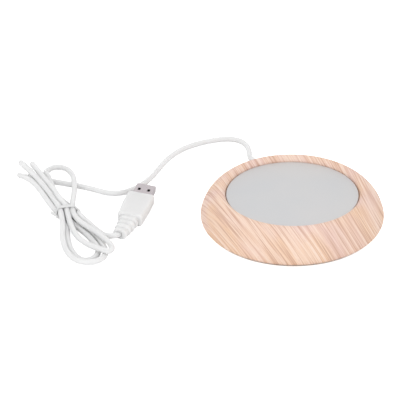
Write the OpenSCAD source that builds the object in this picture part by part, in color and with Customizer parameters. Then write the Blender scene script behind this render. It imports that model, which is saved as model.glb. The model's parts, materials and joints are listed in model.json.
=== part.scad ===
// Electric mug warmer: a turned wooden ring holds a heated aluminium plate, and a thin white
// lead with a USB-A plug leaves the ring at the back and lies tied in a hank beside it.
// The origin is on the table under the middle of the ring, +Z up, millimetres.

/* [Wooden ring] */
// Diameter of the ring at its widest
ring_d = 110; // [106:1:124]
// Height of the ring's widest line above the table
belly_h = 5.6; // [5.2:0.1:7]
// Radius of the rounding under the widest line, down to the wood's flat bottom
heel_r = 4.7; // [4:0.1:5]
// Radius of the rounding just above the widest line
belly_r = 9; // [8:0.5:11]
// Angle at which that rounding runs into the sloping top
belly_angle = 14; // [10:1:18]
// Radius of the long sloping top
slope_r = 22.5; // [21:0.5:25]
// Radius of the rounded lip round the plate
lip_r = 3.25; // [2.5:0.05:3.5]
// Width of the wooden rim, from the plate's recess to the widest line
rim_w = 14.9; // [14:0.1:16]
// Width of the ledge that carries the plate's edge
ledge_w = 4.1; // [3.5:0.1:5]
// Width of the wood's flat underside round the bottom cover
base_rim = 4; // [3:0.5:5]

/* [Heating plate] */
// Thickness of the plate
plate_t = 2; // [1.5:0.1:2.5]
// Depth of the plate's top below the crest of the lip
plate_drop = 2.75; // [2:0.05:3.5]
// Gap between the plate's edge and the wood
plate_gap = 0.5; // [0.3:0.1:0.8]
// Rounding of the plate's top edge
plate_edge_r = 0.5; // [0.2:0.1:0.8]
// Thickness of the silicone bead under the plate's rim
seal_t = 0.4; // [0.2:0.1:0.8]
// Bare strip of the ledge on each side of that bead
seal_margin = 0.5; // [0.3:0.1:1]

/* [Heater] */
// Gap between the heating film's edge and the ledge
film_gap = 2.5; // [2:0.5:5]
// Thickness of the heating film
film_t = 0.3; // [0.2:0.05:0.4]
// Gap between the insulation pad's edge and the wood
pad_gap = 1.5; // [1:0.5:3]
// Thickness of the insulation pad
pad_t = 4; // [3.8:0.1:4.5]
// Length of the thermal cut-out's case
cutout_l = 20; // [18:0.5:22]
// Width of the thermal cut-out's case
cutout_w = 7.5; // [7:0.1:8]
// Thickness of the thermal cut-out's case
cutout_t = 3.6; // [3.4:0.1:3.7]
// Diameter of the insulated inner wires
wire_d = 1.4; // [1.2:0.1:1.6]
// Diameter of the heat-shrink sleeves over the joints
sleeve_d = 2.6; // [2:0.1:3]
// Length of the heat-shrink sleeves
sleeve_l = 9; // [7:0.5:10]
// Distance between the two solder joints on the film
joint_pitch = 6; // [5:0.5:7]

/* [Base] */
// Gap between the bottom cover's edge and the wood
cover_gap = 0.3; // [0.2:0.1:0.5]
// Thickness of the bottom cover
cover_t = 2.4; // [2:0.1:2.8]
// Depth to which the feet sit in the cover
feet_sink = 0.6; // [0.4:0.1:0.9]
// Diameter of the rubber feet
feet_d = 10; // [8:0.5:11]
// Distance from the cover's edge to the middle of each foot
feet_inset = 6; // [5.5:0.5:10]
// Number of feet
feet_count = 4; // [3:1:6]
// Distance from the cover's edge to each cover screw
screw_inset = 5; // [4:0.5:6]
// Number of cover screws
screw_count = 4; // [3:1:6]
// Diameter of the cover screws' shank
screw_d = 2.6; // [2.2:0.1:3]
// Diameter of the cover screws' countersunk head
screw_head_d = 5.2; // [4.6:0.1:5.6]
// Length of the cover screws
screw_l = 9; // [7:0.5:10]

/* [Lead] */
// Diameter of the lead
cord_d = 3.5; // [2.8:0.1:4.1]
// Direction in which the lead leaves the ring, in degrees from +X
cord_angle = 108; // [100:1:116]
// Height of the lead's axis where it leaves the ring
cord_h = 7.2; // [7:0.1:7.6]
// Outer diameter of the rubber bush in the wood
bush_d = 5.4; // [4.8:0.1:5.8]
// Diameter of the bush's collar
collar_d = 7.8; // [7:0.1:8.4]
// Width of the clamp's bar along the lead
clamp_w = 6; // [5:0.5:8]
// Distance between the clamp's screws
clamp_pitch = 10; // [9:0.5:12]
// Width of the twist tie's band
tie_w = 3; // [2:0.5:4]
// Thickness of the twist tie's band
tie_t = 0.7; // [0.5:0.1:0.8]

/* [USB-A plug] */
// Width of the metal shell
shell_w = 12; // [11.9:0.05:12.1]
// Thickness of the metal shell
shell_h = 4.5; // [4.4:0.05:4.6]
// Length of the metal shell in front of the grip
shell_l = 12; // [11.75:0.05:12.5]
// Sheet thickness of the metal shell
shell_wall = 0.3; // [0.25:0.05:0.4]
// Width of the moulded grip at the shell
grip_w = 17; // [15:0.5:18]
// Thickness of the moulded grip
grip_h = 8; // [7:0.5:8.6]
// Length of the moulded grip
grip_l = 25; // [22:1:30]
// Length of the ribbed sleeve behind the grip
boot_l = 17; // [14:0.5:20]

/* [Hidden] */
$fn = 96;

cut = 1;                                  // how far a cutter passes through a face
ring_r = ring_d / 2;
wall_r = ring_r - rim_w;                  // wall of the recess for the plate
plate_r = wall_r - plate_gap;
ledge_r = plate_r - ledge_w;              // inner edge of the ledge
film_r = ledge_r - film_gap;
pad_r = ledge_r - pad_gap;
base_r = ring_r - heel_r - base_rim;      // wall of the recess for the cover
cover_r = base_r - cover_gap;
feet_ring_r = cover_r - feet_inset;
screw_ring_r = cover_r - screw_inset;
cover_inset = 0.1;                        // the cover lies just inside the wood's bottom
wood_z = belly_h - heel_r;                // bottom of the wood, which the feet keep off the table
cover_z = wood_z + cover_inset;
seat_z = cover_z + cover_t;               // seat of the cover in the wood
thread_gap = 0.05;                        // radial gap between a screw and its hole

// Centres of the four arcs of the ring's profile, each tangent to the next
heel_c = [ring_r - heel_r, belly_h];
belly_c = [ring_r - belly_r, belly_h];
slope_c = belly_c - (slope_r - belly_r) * [cos(belly_angle), sin(belly_angle)];
lip_angle = acos((wall_r + lip_r - slope_c.x) / (slope_r - lip_r));
lip_c = slope_c + (slope_r - lip_r) * [cos(lip_angle), sin(lip_angle)];
arc_step = 5;                             // degrees between the points of an arc

plate_h = lip_c.y + lip_r - plate_drop;   // height of the plate's top
plate_z = plate_h - plate_t;              // underside of the plate
ledge_z = plate_z - seal_t;               // top of the wooden ledge
pad_z = plate_z - film_t - pad_t;         // underside of the insulation pad
film_z = plate_z - film_t;
cutout_pos = [0, -2];
cutout_z = film_z - cutout_t;
cutout_slot = 0.5;                        // room round the cut-out in the pad
joint_pos = [7.5, 18];                    // middle of the two solder joints
joint_h = 1.1;
joint_r = 1.8;
window = [14, 8];                         // window in the pad over the joints
sleeve_x = -16;
sleeve_z = pad_z - 2.2;
sleeve_y = [2, -6];                       // ends of the sleeves nearest the cut-out
lead_offset = 2;                          // from the cut-out's middle to each of its leads
lead_wire_d = 1;

clamp_inset = 6.5;                        // from the ledge's inner edge to the clamp's middle
clamp_r = ledge_r - clamp_inset;          // radius at which the clamp holds the lead
clamp_end = 3;                            // from each clamp screw to the end of the bar
clamp_len = clamp_pitch + 2 * clamp_end;
clamp_bar_t = 2.6;
clamp_screw_d = 2.2;
clamp_head_d = 4.2;
clamp_head_h = 1.2;
clamp_screw_l = 6;
jaw_gap = 0.6;                            // from the lead's axis to each jaw
jaw_clear = 0.05;
jacket_in = 5;                            // length of jacket that passes the clamp inwards
jacket_end_r = clamp_r - jacket_in;       // radius at which the lead's jacket is stripped
bush_l = 10;                              // length of the bush inside the wood
collar_sink = 1.8;
collar_proud = 0.4;
nose_l = 6.6;
nose_wall = 0.7;
bush_in_r = ring_r - bush_l;
collar_in_r = ring_r - collar_sink;
collar_out_r = ring_r + collar_proud;
nose_r = collar_out_r + nose_l;
nose_d = cord_d + 2 * nose_wall;
pocket_gap = 0.2;

joint_a = [joint_pos.x - joint_pitch / 2, joint_pos.y];
joint_b = [joint_pos.x + joint_pitch / 2, joint_pos.y];
wire_end_z = film_z - joint_h;
jacket_end = [jacket_end_r * cos(cord_angle), jacket_end_r * sin(cord_angle), cord_h];
wire_side = (wire_d / 2 + 0.1) * [sin(cord_angle), -cos(cord_angle), 0];
wire_drop = 4;                            // from the pad down to the wires between the parts
wire_low = pad_z - wire_drop;
sleeve_end = [sleeve_x, sleeve_y[0] + sleeve_l, sleeve_z];

// The point at the part t of the way from a to b
function between(a, b, t) = a + t * (b - a);

// Routes of the inner wires, from end to end
red_route = [
    jacket_end - wire_side, between(jacket_end, sleeve_end, 0.3) - [0, 0, 0.2],
    between(jacket_end, sleeve_end, 0.65) - [0, 0, 1], sleeve_end
];
black_route = [
    jacket_end + wire_side, [-4.5, 17.5, cord_h + 0.6], [-0.5, 14.5, wire_low + 0.9],
    [2.5, 15.4, pad_z - 0.2], [joint_a.x, joint_a.y, wire_end_z]
];
link_route = [
    [sleeve_x, sleeve_y[1] - sleeve_l, sleeve_z], [-13.5, -18.5, wire_low + 0.7],
    [-6, -22.5, wire_low], [5, -22.5, wire_low], [14.5, -17, wire_low], [19, -7, wire_low],
    [18.5, 4, wire_low + 0.9], [15, 12, pad_z - 1.2], [joint_b.x, joint_b.y, wire_end_z]
];
cutout_end = cutout_pos.x - cutout_l / 2;
// From each end of the cut-out's case down to its sleeve
function cutout_route(side) = let (
    a = [cutout_end, cutout_pos.y + side * lead_offset, cutout_z + cutout_t / 2],
    b = [sleeve_x, sleeve_y[side > 0 ? 0 : 1], sleeve_z]
) [a, [a.x + 0.3 * (b.x - a.x), a.y, a.z - 0.1 * (a.z - b.z)],
    [b.x - 0.2 * (b.x - a.x), b.y - 0.1 * (b.y - a.y), b.z + 0.3 * (a.z - b.z)], b];

// Route of the lead on the table, from the bush to the hank
lead_z = cord_d / 2;
straight_l = 3;                           // straight stretch of the lead where it leaves the bush
exit_dir = [cos(cord_angle), sin(cord_angle), 0];
exit_up = [0, 0, cord_h];
lead_bends = [
    [-22.8, 86], [-24.2, 94], [-27.6, 100.3], [-33, 103.4], [-40, 103.6], [-48, 101.5],
    [-57, 97.5], [-65, 91.7], [-71.6, 84], [-77, 74.5], [-81.5, 64], [-86, 53.5], [-92, 44],
    [-99.5, 37.2], [-107, 34.5], [-114, 36], [-121, 40.5], [-130.3, 45.5]
];
lead_route = concat(
    [nose_r * exit_dir + exit_up, (nose_r + straight_l) * exit_dir + exit_up],
    [[-21.8, 68.5, 5.8], [-22.5, 74, 3.6], [-22.7, 80, lead_z + 0.4]],
    [for (p = lead_bends) [p.x, p.y, lead_z]]
);
// Route of the lead's last stretch, from the hank to the plug
tail_route = [
    [-115.6, -12.9, 2.8], [-112, -16.4, 2.8], [-108.4, -18.8, 3.1], [-105.4, -19.3, 3.7],
    [-103.6, -18.6, 4]
];

// The hank: folds of the lead above and below a waist, where the tie sits
waist_pos = [-135.4, 9.4];
waist_turn = 9;                           // degrees from +X to the line across the waist
waist_w = 13.6;
waist_t = 6.2;
band_gap = 0.1;                           // between the tie's band and the folds
waist_z = tie_t + band_gap;               // underside of the waist
lobe_r = 3;
finger_h = 11.6;
fingers = [
    [[-136, 15], [-163, 58.5], [-168, 55.5], [-140, 12.5]],
    [[-132, 15], [-158, 65], [-166, 68], [-168.5, 63], [-138, 13]],
    [[-134, 22], [-134.5, 48], [-139, 64.5], [-148, 68.5], [-154, 63], [-152, 51], [-137, 20]]
];
lower_lobe_h = 7.2;
lower_lobe = [
    [-136.8, 4.8], [-137.2, -14], [-130.5, -40], [-123, -47.3], [-115, -44.5], [-108.3, -35.5],
    [-129.8, 3.6]
];

// Where the plug lies: the front of its grip, its direction and its slight roll
plug_rest = 1.75;                         // how far its middle lies above half the grip's thickness
plug_pos = [-91.2, 21.4, grip_h / 2 + plug_rest];
plug_turn = 75;
plug_rise = 2.5;
plug_roll = 4.5;
shell_seat = 3;                           // length of the shell inside the grip
grip_corner_r = 2;
grip_tail_w = grip_w - 1.4;
grip_tail_r = 1.6;
boot_bend = 8;                            // total bend of the ribbed sleeve, in degrees
boot_widths = [11.6, 12.2, 10.2, 11.4, 9.2, 10.4, 8.4, 8.8];
boot_heights = [7, 7.4, 6.4, 7.2, 6.2, 7, 6, 6.6];
shell_hole = [2.6, 1.7];
shell_hole_x = 6;                         // from the shell's front edge to the middle of its holes
shell_hole_y = 3;                         // from the plug's middle to each hole
tongue_gap = 0.1;                         // between the tongue's sides and the shell
tongue_t = 1.84;
pocket_t = 1;                             // depth of the tongue's pockets under the shell's holes
tongue_w = shell_w - 2 * shell_wall - 2 * tongue_gap;
tongue_l = 10.4;
contact_x = [-3.5, -1, 1, 3.5];
contact_l = [7.4, 6.4, 6.4, 7.4];
contact_w = 1;
contact_t = 0.2;
contact_inset = 0.8;                      // from the tongue's front edge to the contacts

wood_color = [0.93, 0.80, 0.74];
alu_color = [0.83, 0.83, 0.83];
lead_color = [0.93, 0.93, 0.92];

// ---- Shapes used by several pieces ----

// Point of a Catmull-Rom curve between b and c
function curve_point(a, b, c, d, t) = 0.5 * (2 * b + (c - a) * t
    + (2 * a - 5 * b + 4 * c - d) * t * t + (3 * b - a - 3 * c + d) * t * t * t);

function before(p, i) = i > 0 ? p[i - 1] : 2 * p[0] - p[1];
function after(p, i) = i < len(p) - 1 ? p[i + 1] : 2 * p[i] - p[i - 1];

// The route as a smooth curve with n steps between its points
function smooth_route(p, n) = concat(
    [for (i = [0:len(p) - 2]) for (k = [0:n - 1])
        curve_point(before(p, i), p[i], p[i + 1], after(p, i + 1), k / n)],
    [p[len(p) - 1]]);

function unit(v) = v / norm(v);
function heading(p, i) = unit(after(p, i) - before(p, i));
function across(t) = unit(cross(t, [0, 0, 1]));

// A round tube along a curve, as one closed mesh
module tube(curve, d, sides = 8) {
    n = len(curve);
    points = [for (i = [0:n - 1]) let (t = heading(curve, i), s = across(t), u = cross(s, t))
        for (j = [0:sides - 1]) curve[i] + d / 2 * (cos(j * 360 / sides) * s + sin(j * 360 / sides) * u)];
    walls = [for (i = [0:n - 2]) for (j = [0:sides - 1])
        let (a = i * sides + j, b = i * sides + (j + 1) % sides)
        for (f = [[a, b, b + sides], [a, b + sides, a + sides]]) f];
    start_cap = [for (j = [sides - 1:-1:0]) j];
    end_cap = [for (j = [0:sides - 1]) (n - 1) * sides + j];
    polyhedron(points, concat([start_cap], walls, [end_cap]), convexity = 6);
}

// Points of an arc, without the first one
function arc(centre, r, from, to) = let (n = ceil((to - from) / arc_step))
    [for (i = [1:n]) let (a = from + (to - from) * i / n) centre + r * [cos(a), sin(a)]];

module rounded_rect(w, h, r) {
    square([w - 2 * r, h], center = true);
    square([w, h - 2 * r], center = true);
    for (x = [-1, 1], y = [-1, 1])
        translate([x * (w / 2 - r), y * (h / 2 - r)]) circle(r);
}

// A convex outline, given anticlockwise, grown by r with round corners
function grown(points, r) = let (n = len(points)) [
    for (i = [0:n - 1]) let (
        a = points[i] - points[(i + n - 1) % n],
        b = points[(i + 1) % n] - points[i],
        from = atan2(-a.x, a.y),
        turn = (atan2(-b.x, b.y) - from + 360) % 360,
        steps = max(1, ceil(turn / 15))
    ) for (k = [0:steps]) let (angle = from + turn * k / steps)
        points[i] + r * [cos(angle), sin(angle)]
];

// Repeats its child round the axis of the ring
module around(count, start = 0) {
    for (i = [0:count - 1]) rotate(start + i * 360 / count) children();
}

// Turns its child so that +X points out along the lead where it leaves the ring
module along_exit() {
    translate([0, 0, cord_h]) rotate(cord_angle) children();
}

module exit_rod(r_from, r_to, d) {
    along_exit() translate([r_from, 0, 0]) rotate([0, 90, 0]) cylinder(d = d, h = r_to - r_from);
}

// ---- Ring, plate and heater ----

module ring_profile() {
    polygon(concat(
        [[base_r, wood_z], [heel_c.x, wood_z]],
        arc(heel_c, heel_r, -90, 0),
        arc(belly_c, belly_r, 0, belly_angle),
        arc(slope_c, slope_r, belly_angle, lip_angle),
        arc(lip_c, lip_r, lip_angle, 180),
        [[wall_r, ledge_z], [ledge_r, ledge_z], [ledge_r, seat_z], [base_r, seat_z]]
    ));
}

module wood_ring() {
    color(wood_color) difference() {
        rotate_extrude() ring_profile();
        exit_rod(ledge_r - cut, ring_r + cut, bush_d);
        exit_rod(collar_in_r, ring_r + cut, collar_d + 2 * pocket_gap);
        around(screw_count, 45) translate([screw_ring_r, 0, seat_z - cut])
            cylinder(d = screw_d + 2 * thread_gap, h = screw_l + cut);
    }
}

module heating_plate() {
    color(alu_color) rotate_extrude() difference() {
        union() {
            translate([0, plate_z]) square([plate_r, plate_t - plate_edge_r]);
            translate([0, plate_z]) square([plate_r - plate_edge_r, plate_t]);
            translate([plate_r - plate_edge_r, plate_h - plate_edge_r]) circle(plate_edge_r);
        }
        translate([-2 * plate_r, 0]) square([2 * plate_r, 2 * plate_h]);
    }
}

module plate_seal() {
    color([0.85, 0.85, 0.83]) translate([0, 0, ledge_z]) difference() {
        cylinder(r = plate_r - seal_margin, h = seal_t);
        translate([0, 0, -cut]) cylinder(r = ledge_r + seal_margin, h = seal_t + 2 * cut);
    }
}

module heater_film() {
    color([0.78, 0.45, 0.12]) translate([0, 0, film_z]) cylinder(r = film_r, h = film_t);
}

module solder_joints() {
    color([0.75, 0.75, 0.77]) for (p = [joint_a, joint_b])
        translate([p.x, p.y, film_z - joint_h])
            cylinder(r1 = wire_d / 2 + 0.2, r2 = joint_r, h = joint_h);
}

module insulation_pad() {
    slot = [cutout_l + 2 * cutout_slot, cutout_w + 2 * cutout_slot, pad_t + 2 * cut];
    color([0.90, 0.88, 0.82]) difference() {
        translate([0, 0, pad_z]) cylinder(r = pad_r, h = pad_t);
        translate([cutout_pos.x - slot.x / 2, cutout_pos.y - slot.y / 2, pad_z - cut]) cube(slot);
        translate([joint_pos.x - window.x / 2, joint_pos.y - window.y / 2, pad_z - cut])
            cube([window.x, window.y, pad_t + 2 * cut]);
    }
}

module thermal_cutout() {
    color([0.72, 0.72, 0.74]) {
        translate([cutout_end, cutout_pos.y, cutout_z + cutout_t / 2]) rotate([90, 0, 90])
            linear_extrude(cutout_l) rounded_rect(cutout_w, cutout_t, 0.6);
        for (side = [-1, 1]) tube(smooth_route(cutout_route(side), 3), lead_wire_d);
    }
}

module red_wire() {
    color([0.75, 0.08, 0.06]) tube(smooth_route(red_route, 3), wire_d);
}

module black_wire() {
    color([0.10, 0.10, 0.10]) tube(smooth_route(black_route, 3), wire_d);
}

module link_wire() {
    color([0.75, 0.08, 0.06]) tube(smooth_route(link_route, 3), wire_d);
}

module splice_sleeves() {
    color([0.12, 0.12, 0.13]) {
        translate([sleeve_x, sleeve_y[0], sleeve_z]) rotate([-90, 0, 0])
            cylinder(d = sleeve_d, h = sleeve_l);
        translate([sleeve_x, sleeve_y[1], sleeve_z]) rotate([90, 0, 0])
            cylinder(d = sleeve_d, h = sleeve_l);
    }
}

// ---- Base ----

saddle_top = cord_h - jaw_gap;
saddle_foot = cover_z + cover_t / 2;
bar_z = cord_h + jaw_gap;
clamp_screw_z = bar_z + clamp_bar_t - clamp_screw_l;

module bottom_cover() {
    color([0.16, 0.14, 0.13]) difference() {
        union() {
            translate([0, 0, cover_z]) cylinder(r = cover_r, h = cover_t);
            rotate(cord_angle) translate([clamp_r - clamp_w / 2, -clamp_len / 2, saddle_foot])
                cube([clamp_w, clamp_len, saddle_top - saddle_foot]);
        }
        exit_rod(clamp_r - clamp_w, clamp_r + clamp_w, cord_d + 2 * jaw_clear);
        for (s = [-1, 1]) rotate(cord_angle)
            translate([clamp_r, s * clamp_pitch / 2, clamp_screw_z - thread_gap])
                cylinder(d = clamp_screw_d + 2 * thread_gap, h = clamp_screw_l);
        around(screw_count, 45) translate([screw_ring_r, 0, cover_z]) screw_hole();
        around(feet_count) translate([feet_ring_r, 0, cover_z - cut])
            cylinder(d = feet_d + 2 * thread_gap, h = feet_sink + cut);
    }
}

head_h = (screw_head_d - screw_d) / 2;

module screw_hole() {
    translate([0, 0, -cut]) cylinder(d = screw_d + 2 * thread_gap, h = cover_t + 2 * cut);
    cylinder(d1 = screw_head_d + 2 * thread_gap, d2 = screw_d + 2 * thread_gap, h = head_h);
}

module cover_screws() {
    color([0.62, 0.62, 0.64]) around(screw_count, 45) translate([screw_ring_r, 0, cover_z])
        difference() {
            union() {
                cylinder(d = screw_d, h = screw_l - screw_d / 2);
                cylinder(d1 = screw_head_d, d2 = screw_d, h = head_h);
                translate([0, 0, screw_l - screw_d / 2])
                    cylinder(d1 = screw_d, d2 = 0.4, h = screw_d / 2);
            }
            for (a = [0, 90]) rotate(a) translate([0, 0, head_h / 3 - cut / 2])
                cube([screw_head_d * 0.6, 0.7, cut], center = true);
        }
}

module rubber_feet() {
    color([0.08, 0.08, 0.08]) around(feet_count) translate([feet_ring_r, 0, 0])
        cylinder(d = feet_d, h = cover_z + feet_sink);
}

module cable_clamp() {
    color([0.85, 0.85, 0.83]) difference() {
        rotate(cord_angle) translate([clamp_r - clamp_w / 2, -clamp_len / 2, bar_z])
            cube([clamp_w, clamp_len, clamp_bar_t]);
        exit_rod(clamp_r - clamp_w, clamp_r + clamp_w, cord_d + 2 * jaw_clear);
        for (s = [-1, 1]) rotate(cord_angle) translate([clamp_r, s * clamp_pitch / 2, bar_z - cut])
            cylinder(d = clamp_screw_d + 2 * thread_gap, h = clamp_bar_t + 2 * cut);
    }
}

module clamp_screws() {
    color([0.62, 0.62, 0.64]) for (s = [-1, 1]) rotate(cord_angle)
        translate([clamp_r, s * clamp_pitch / 2, clamp_screw_z]) difference() {
            union() {
                cylinder(d = clamp_screw_d, h = clamp_screw_l);
                translate([0, 0, clamp_screw_l]) cylinder(d = clamp_head_d, h = clamp_head_h);
            }
            for (a = [0, 90]) rotate(a)
                translate([0, 0, clamp_screw_l + clamp_head_h])
                    cube([clamp_head_d * 0.6, 0.6, clamp_head_h], center = true);
        }
}

// ---- Lead ----

// The stripped end of the lead, from inside the case to the end of the bush
module cord_entry() {
    color(lead_color) exit_rod(jacket_end_r, nose_r, cord_d);
}

module cord_bush() {
    hole_d = cord_d + 2 * jaw_clear;
    color(lead_color) difference() {
        union() {
            exit_rod(bush_in_r, collar_out_r, bush_d);
            exit_rod(collar_in_r, collar_out_r, collar_d);
            along_exit() translate([collar_out_r, 0, 0]) rotate([0, 90, 0])
                cylinder(d1 = bush_d, d2 = nose_d, h = nose_r - collar_out_r);
        }
        exit_rod(bush_in_r - cut, nose_r + cut, hole_d);
    }
}

module cord_lead() {
    color(lead_color) tube(smooth_route(lead_route, 2), cord_d);
}

module cord_tail() {
    color(lead_color) tube(smooth_route(tail_route, 2), cord_d);
}

module at_waist() {
    translate([waist_pos.x, waist_pos.y, 0]) rotate(waist_turn) children();
}

module cord_hank() {
    tie_room = tie_w + 0.6;
    color(lead_color) union() {
        difference() {
            union() {
                linear_extrude(finger_h) for (f = fingers) polygon(grown(f, lobe_r));
                linear_extrude(lower_lobe_h) polygon(grown(lower_lobe, lobe_r));
            }
            at_waist() translate([-2 * waist_w, -tie_room / 2, -cut])
                cube([4 * waist_w, tie_room, finger_h + 2 * cut]);
        }
        at_waist() translate([-waist_w / 2, -tie_w, waist_z]) cube([waist_w, 2 * tie_w, waist_t]);
    }
}

// The tie's band round the waist, and its twisted ends
module twist_tie() {
    in_w = waist_w + 2 * band_gap;
    in_h = waist_t + 2 * band_gap;
    mid_z = waist_z + waist_t / 2;
    knot_d = 1.5;
    knot_l = 6;
    knot_z = 2.4;
    color([0.92, 0.92, 0.92]) at_waist() {
        translate([0, tie_w / 2, mid_z]) rotate([90, 0, 0]) linear_extrude(tie_w) difference() {
            rounded_rect(in_w + 2 * tie_t, in_h + 2 * tie_t, 1.2);
            rounded_rect(in_w, in_h, 0.5);
        }
        translate([-in_w / 2 - tie_t / 2, 0, knot_z]) rotate([0, -65, -55])
            cylinder(d = knot_d, h = knot_l);
    }
}

// ---- Plug ----

module at_plug() {
    translate(plug_pos) rotate(plug_turn) rotate([0, -plug_rise, 0]) rotate([plug_roll, 0, 0])
        children();
}

// A bar along X with a rounded section, from x = 0 backwards
module bar_back(l, w, h, r) {
    rotate([90, 0, -90]) linear_extrude(l) rounded_rect(w, h, r);
}

module grip_outline() {
    back = -grip_l;
    polygon([
        [0, -grip_w / 2], [0, grip_w / 2], [back / 2, grip_w / 2], [back + grip_tail_r, grip_tail_w / 2],
        [back, grip_tail_w / 2 - grip_tail_r], [back, -grip_tail_w / 2 + grip_tail_r],
        [back + grip_tail_r, -grip_tail_w / 2], [back / 2, -grip_w / 2]
    ]);
    for (s = [-1, 1]) translate([back + grip_tail_r, s * (grip_tail_w / 2 - grip_tail_r)])
        circle(grip_tail_r);
}

// The ribbed sleeve: short sections in turn thick and thin, each turned a little further
module boot_sections(i = 0) {
    count = len(boot_widths);
    step = boot_l / count;
    rotate(-boot_bend / count) {
        bar_back(step + 0.15, boot_widths[i], boot_heights[i], boot_heights[i] / 2 - 0.1);
        if (i < count - 1) translate([-step, 0, 0]) boot_sections(i + 1);
    }
}

module plug_grip() {
    color(lead_color) at_plug() {
        difference() {
            intersection() {
                bar_back(grip_l, grip_w, grip_h, grip_corner_r);
                translate([0, 0, -grip_h]) linear_extrude(2 * grip_h) grip_outline();
            }
            translate([cut, 0, 0]) bar_back(shell_seat + cut, shell_w, shell_h, 0.4);
        }
        translate([-grip_l + 0.15, 0, 0]) boot_sections();
    }
}

module plug_shell() {
    l = shell_l + shell_seat;
    color([0.78, 0.76, 0.76]) at_plug() translate([shell_l, 0, 0]) difference() {
        bar_back(l, shell_w, shell_h, 0.4);
        translate([cut, 0, 0])
            bar_back(l + 2 * cut, shell_w - 2 * shell_wall, shell_h - 2 * shell_wall, 0.2);
        for (s = [-1, 1]) translate([
            -shell_hole_x - shell_hole.x / 2, s * shell_hole_y - shell_hole.y / 2, -shell_h
        ]) cube([shell_hole.x, shell_hole.y, 2 * shell_h]);
    }
}

shell_in_z = shell_h / 2 - shell_wall;
tongue_z = shell_in_z - tongue_t;

// The tongue lies against the shell's upper wall, with a pocket under each of the wall's holes
module plug_tongue() {
    core_l = 2.4;
    color([0.10, 0.10, 0.10]) at_plug() difference() {
        union() {
            translate([-shell_seat, -tongue_w / 2, tongue_z])
                cube([shell_seat + tongue_l, tongue_w, tongue_t]);
            translate([-shell_seat, -tongue_w / 2, -shell_in_z])
                cube([core_l, tongue_w, 2 * shell_in_z]);
        }
        for (s = [-1, 1]) translate([
            shell_l - shell_hole_x - shell_hole.x / 2,
            s * shell_hole_y - shell_hole.y / 2,
            shell_in_z - pocket_t
        ]) cube([shell_hole.x, shell_hole.y, pocket_t + cut]);
    }
}

module plug_contacts() {
    color([0.85, 0.68, 0.35]) at_plug() for (i = [0:3])
        translate([
            tongue_l - contact_inset - contact_l[i], contact_x[i] - contact_w / 2, tongue_z - contact_t
        ]) cube([contact_l[i], contact_w, contact_t]);
}

wood_ring();
heating_plate();
plate_seal();
heater_film();
solder_joints();
insulation_pad();
thermal_cutout();
red_wire();
black_wire();
link_wire();
splice_sleeves();
bottom_cover();
cover_screws();
rubber_feet();
cable_clamp();
clamp_screws();
cord_entry();
cord_bush();
cord_lead();
cord_hank();
twist_tie();
cord_tail();
plug_grip();
plug_shell();
plug_tongue();
plug_contacts();
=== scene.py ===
import json
import math

import bmesh
import bpy
import numpy as np
from mathutils import Matrix, Vector


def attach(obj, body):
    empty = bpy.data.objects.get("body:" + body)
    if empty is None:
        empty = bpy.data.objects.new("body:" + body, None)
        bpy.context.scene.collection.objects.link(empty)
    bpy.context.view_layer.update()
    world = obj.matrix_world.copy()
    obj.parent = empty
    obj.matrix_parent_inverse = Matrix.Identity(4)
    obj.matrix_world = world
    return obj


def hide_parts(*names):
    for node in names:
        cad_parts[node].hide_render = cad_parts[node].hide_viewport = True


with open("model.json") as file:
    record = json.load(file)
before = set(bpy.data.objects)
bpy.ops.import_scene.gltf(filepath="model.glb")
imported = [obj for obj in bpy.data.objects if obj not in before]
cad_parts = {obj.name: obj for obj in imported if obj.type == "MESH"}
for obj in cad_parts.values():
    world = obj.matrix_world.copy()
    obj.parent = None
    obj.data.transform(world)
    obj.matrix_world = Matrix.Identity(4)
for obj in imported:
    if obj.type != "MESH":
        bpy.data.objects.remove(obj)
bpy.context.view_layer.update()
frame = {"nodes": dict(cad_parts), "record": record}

scene = bpy.context.scene
scene.view_settings.view_transform = "Standard"
nodes = frame["nodes"]
MM = 0.001

# Places are in millimetres, in the model's frame, down to the studio, which is in metres.

# ---- Camera ----

ELEVATION = math.radians(29.9)
ROLL = math.radians(-1.08)
DISTANCE = 1000.0
TARGET = np.array([-55.2, 0.0, 15.7])
IMAGE_PX = 400
FOCAL_PX = 1671.0
SENSOR = 36.0


def make_camera():
    forward = np.array([0, math.cos(ELEVATION), -math.sin(ELEVATION)])
    level = np.array([1.0, 0, 0])
    over = np.cross(level, forward)
    c, s = math.cos(ROLL), math.sin(ROLL)
    right, up = c * level + s * over, c * over - s * level
    place = (TARGET - DISTANCE * forward) * MM
    data = bpy.data.cameras.new("camera")
    data.sensor_fit = "HORIZONTAL"
    data.sensor_width = SENSOR
    data.lens = FOCAL_PX / IMAGE_PX * SENSOR
    data.clip_start, data.clip_end = 0.01, 50.0
    camera = bpy.data.objects.new("camera", data)
    scene.collection.objects.link(camera)
    camera.matrix_world = Matrix(
        [(right[i], up[i], -forward[i], place[i]) for i in range(3)] + [(0, 0, 0, 1)]
    )
    scene.camera = camera


make_camera()

# ---- Materials ----


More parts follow.
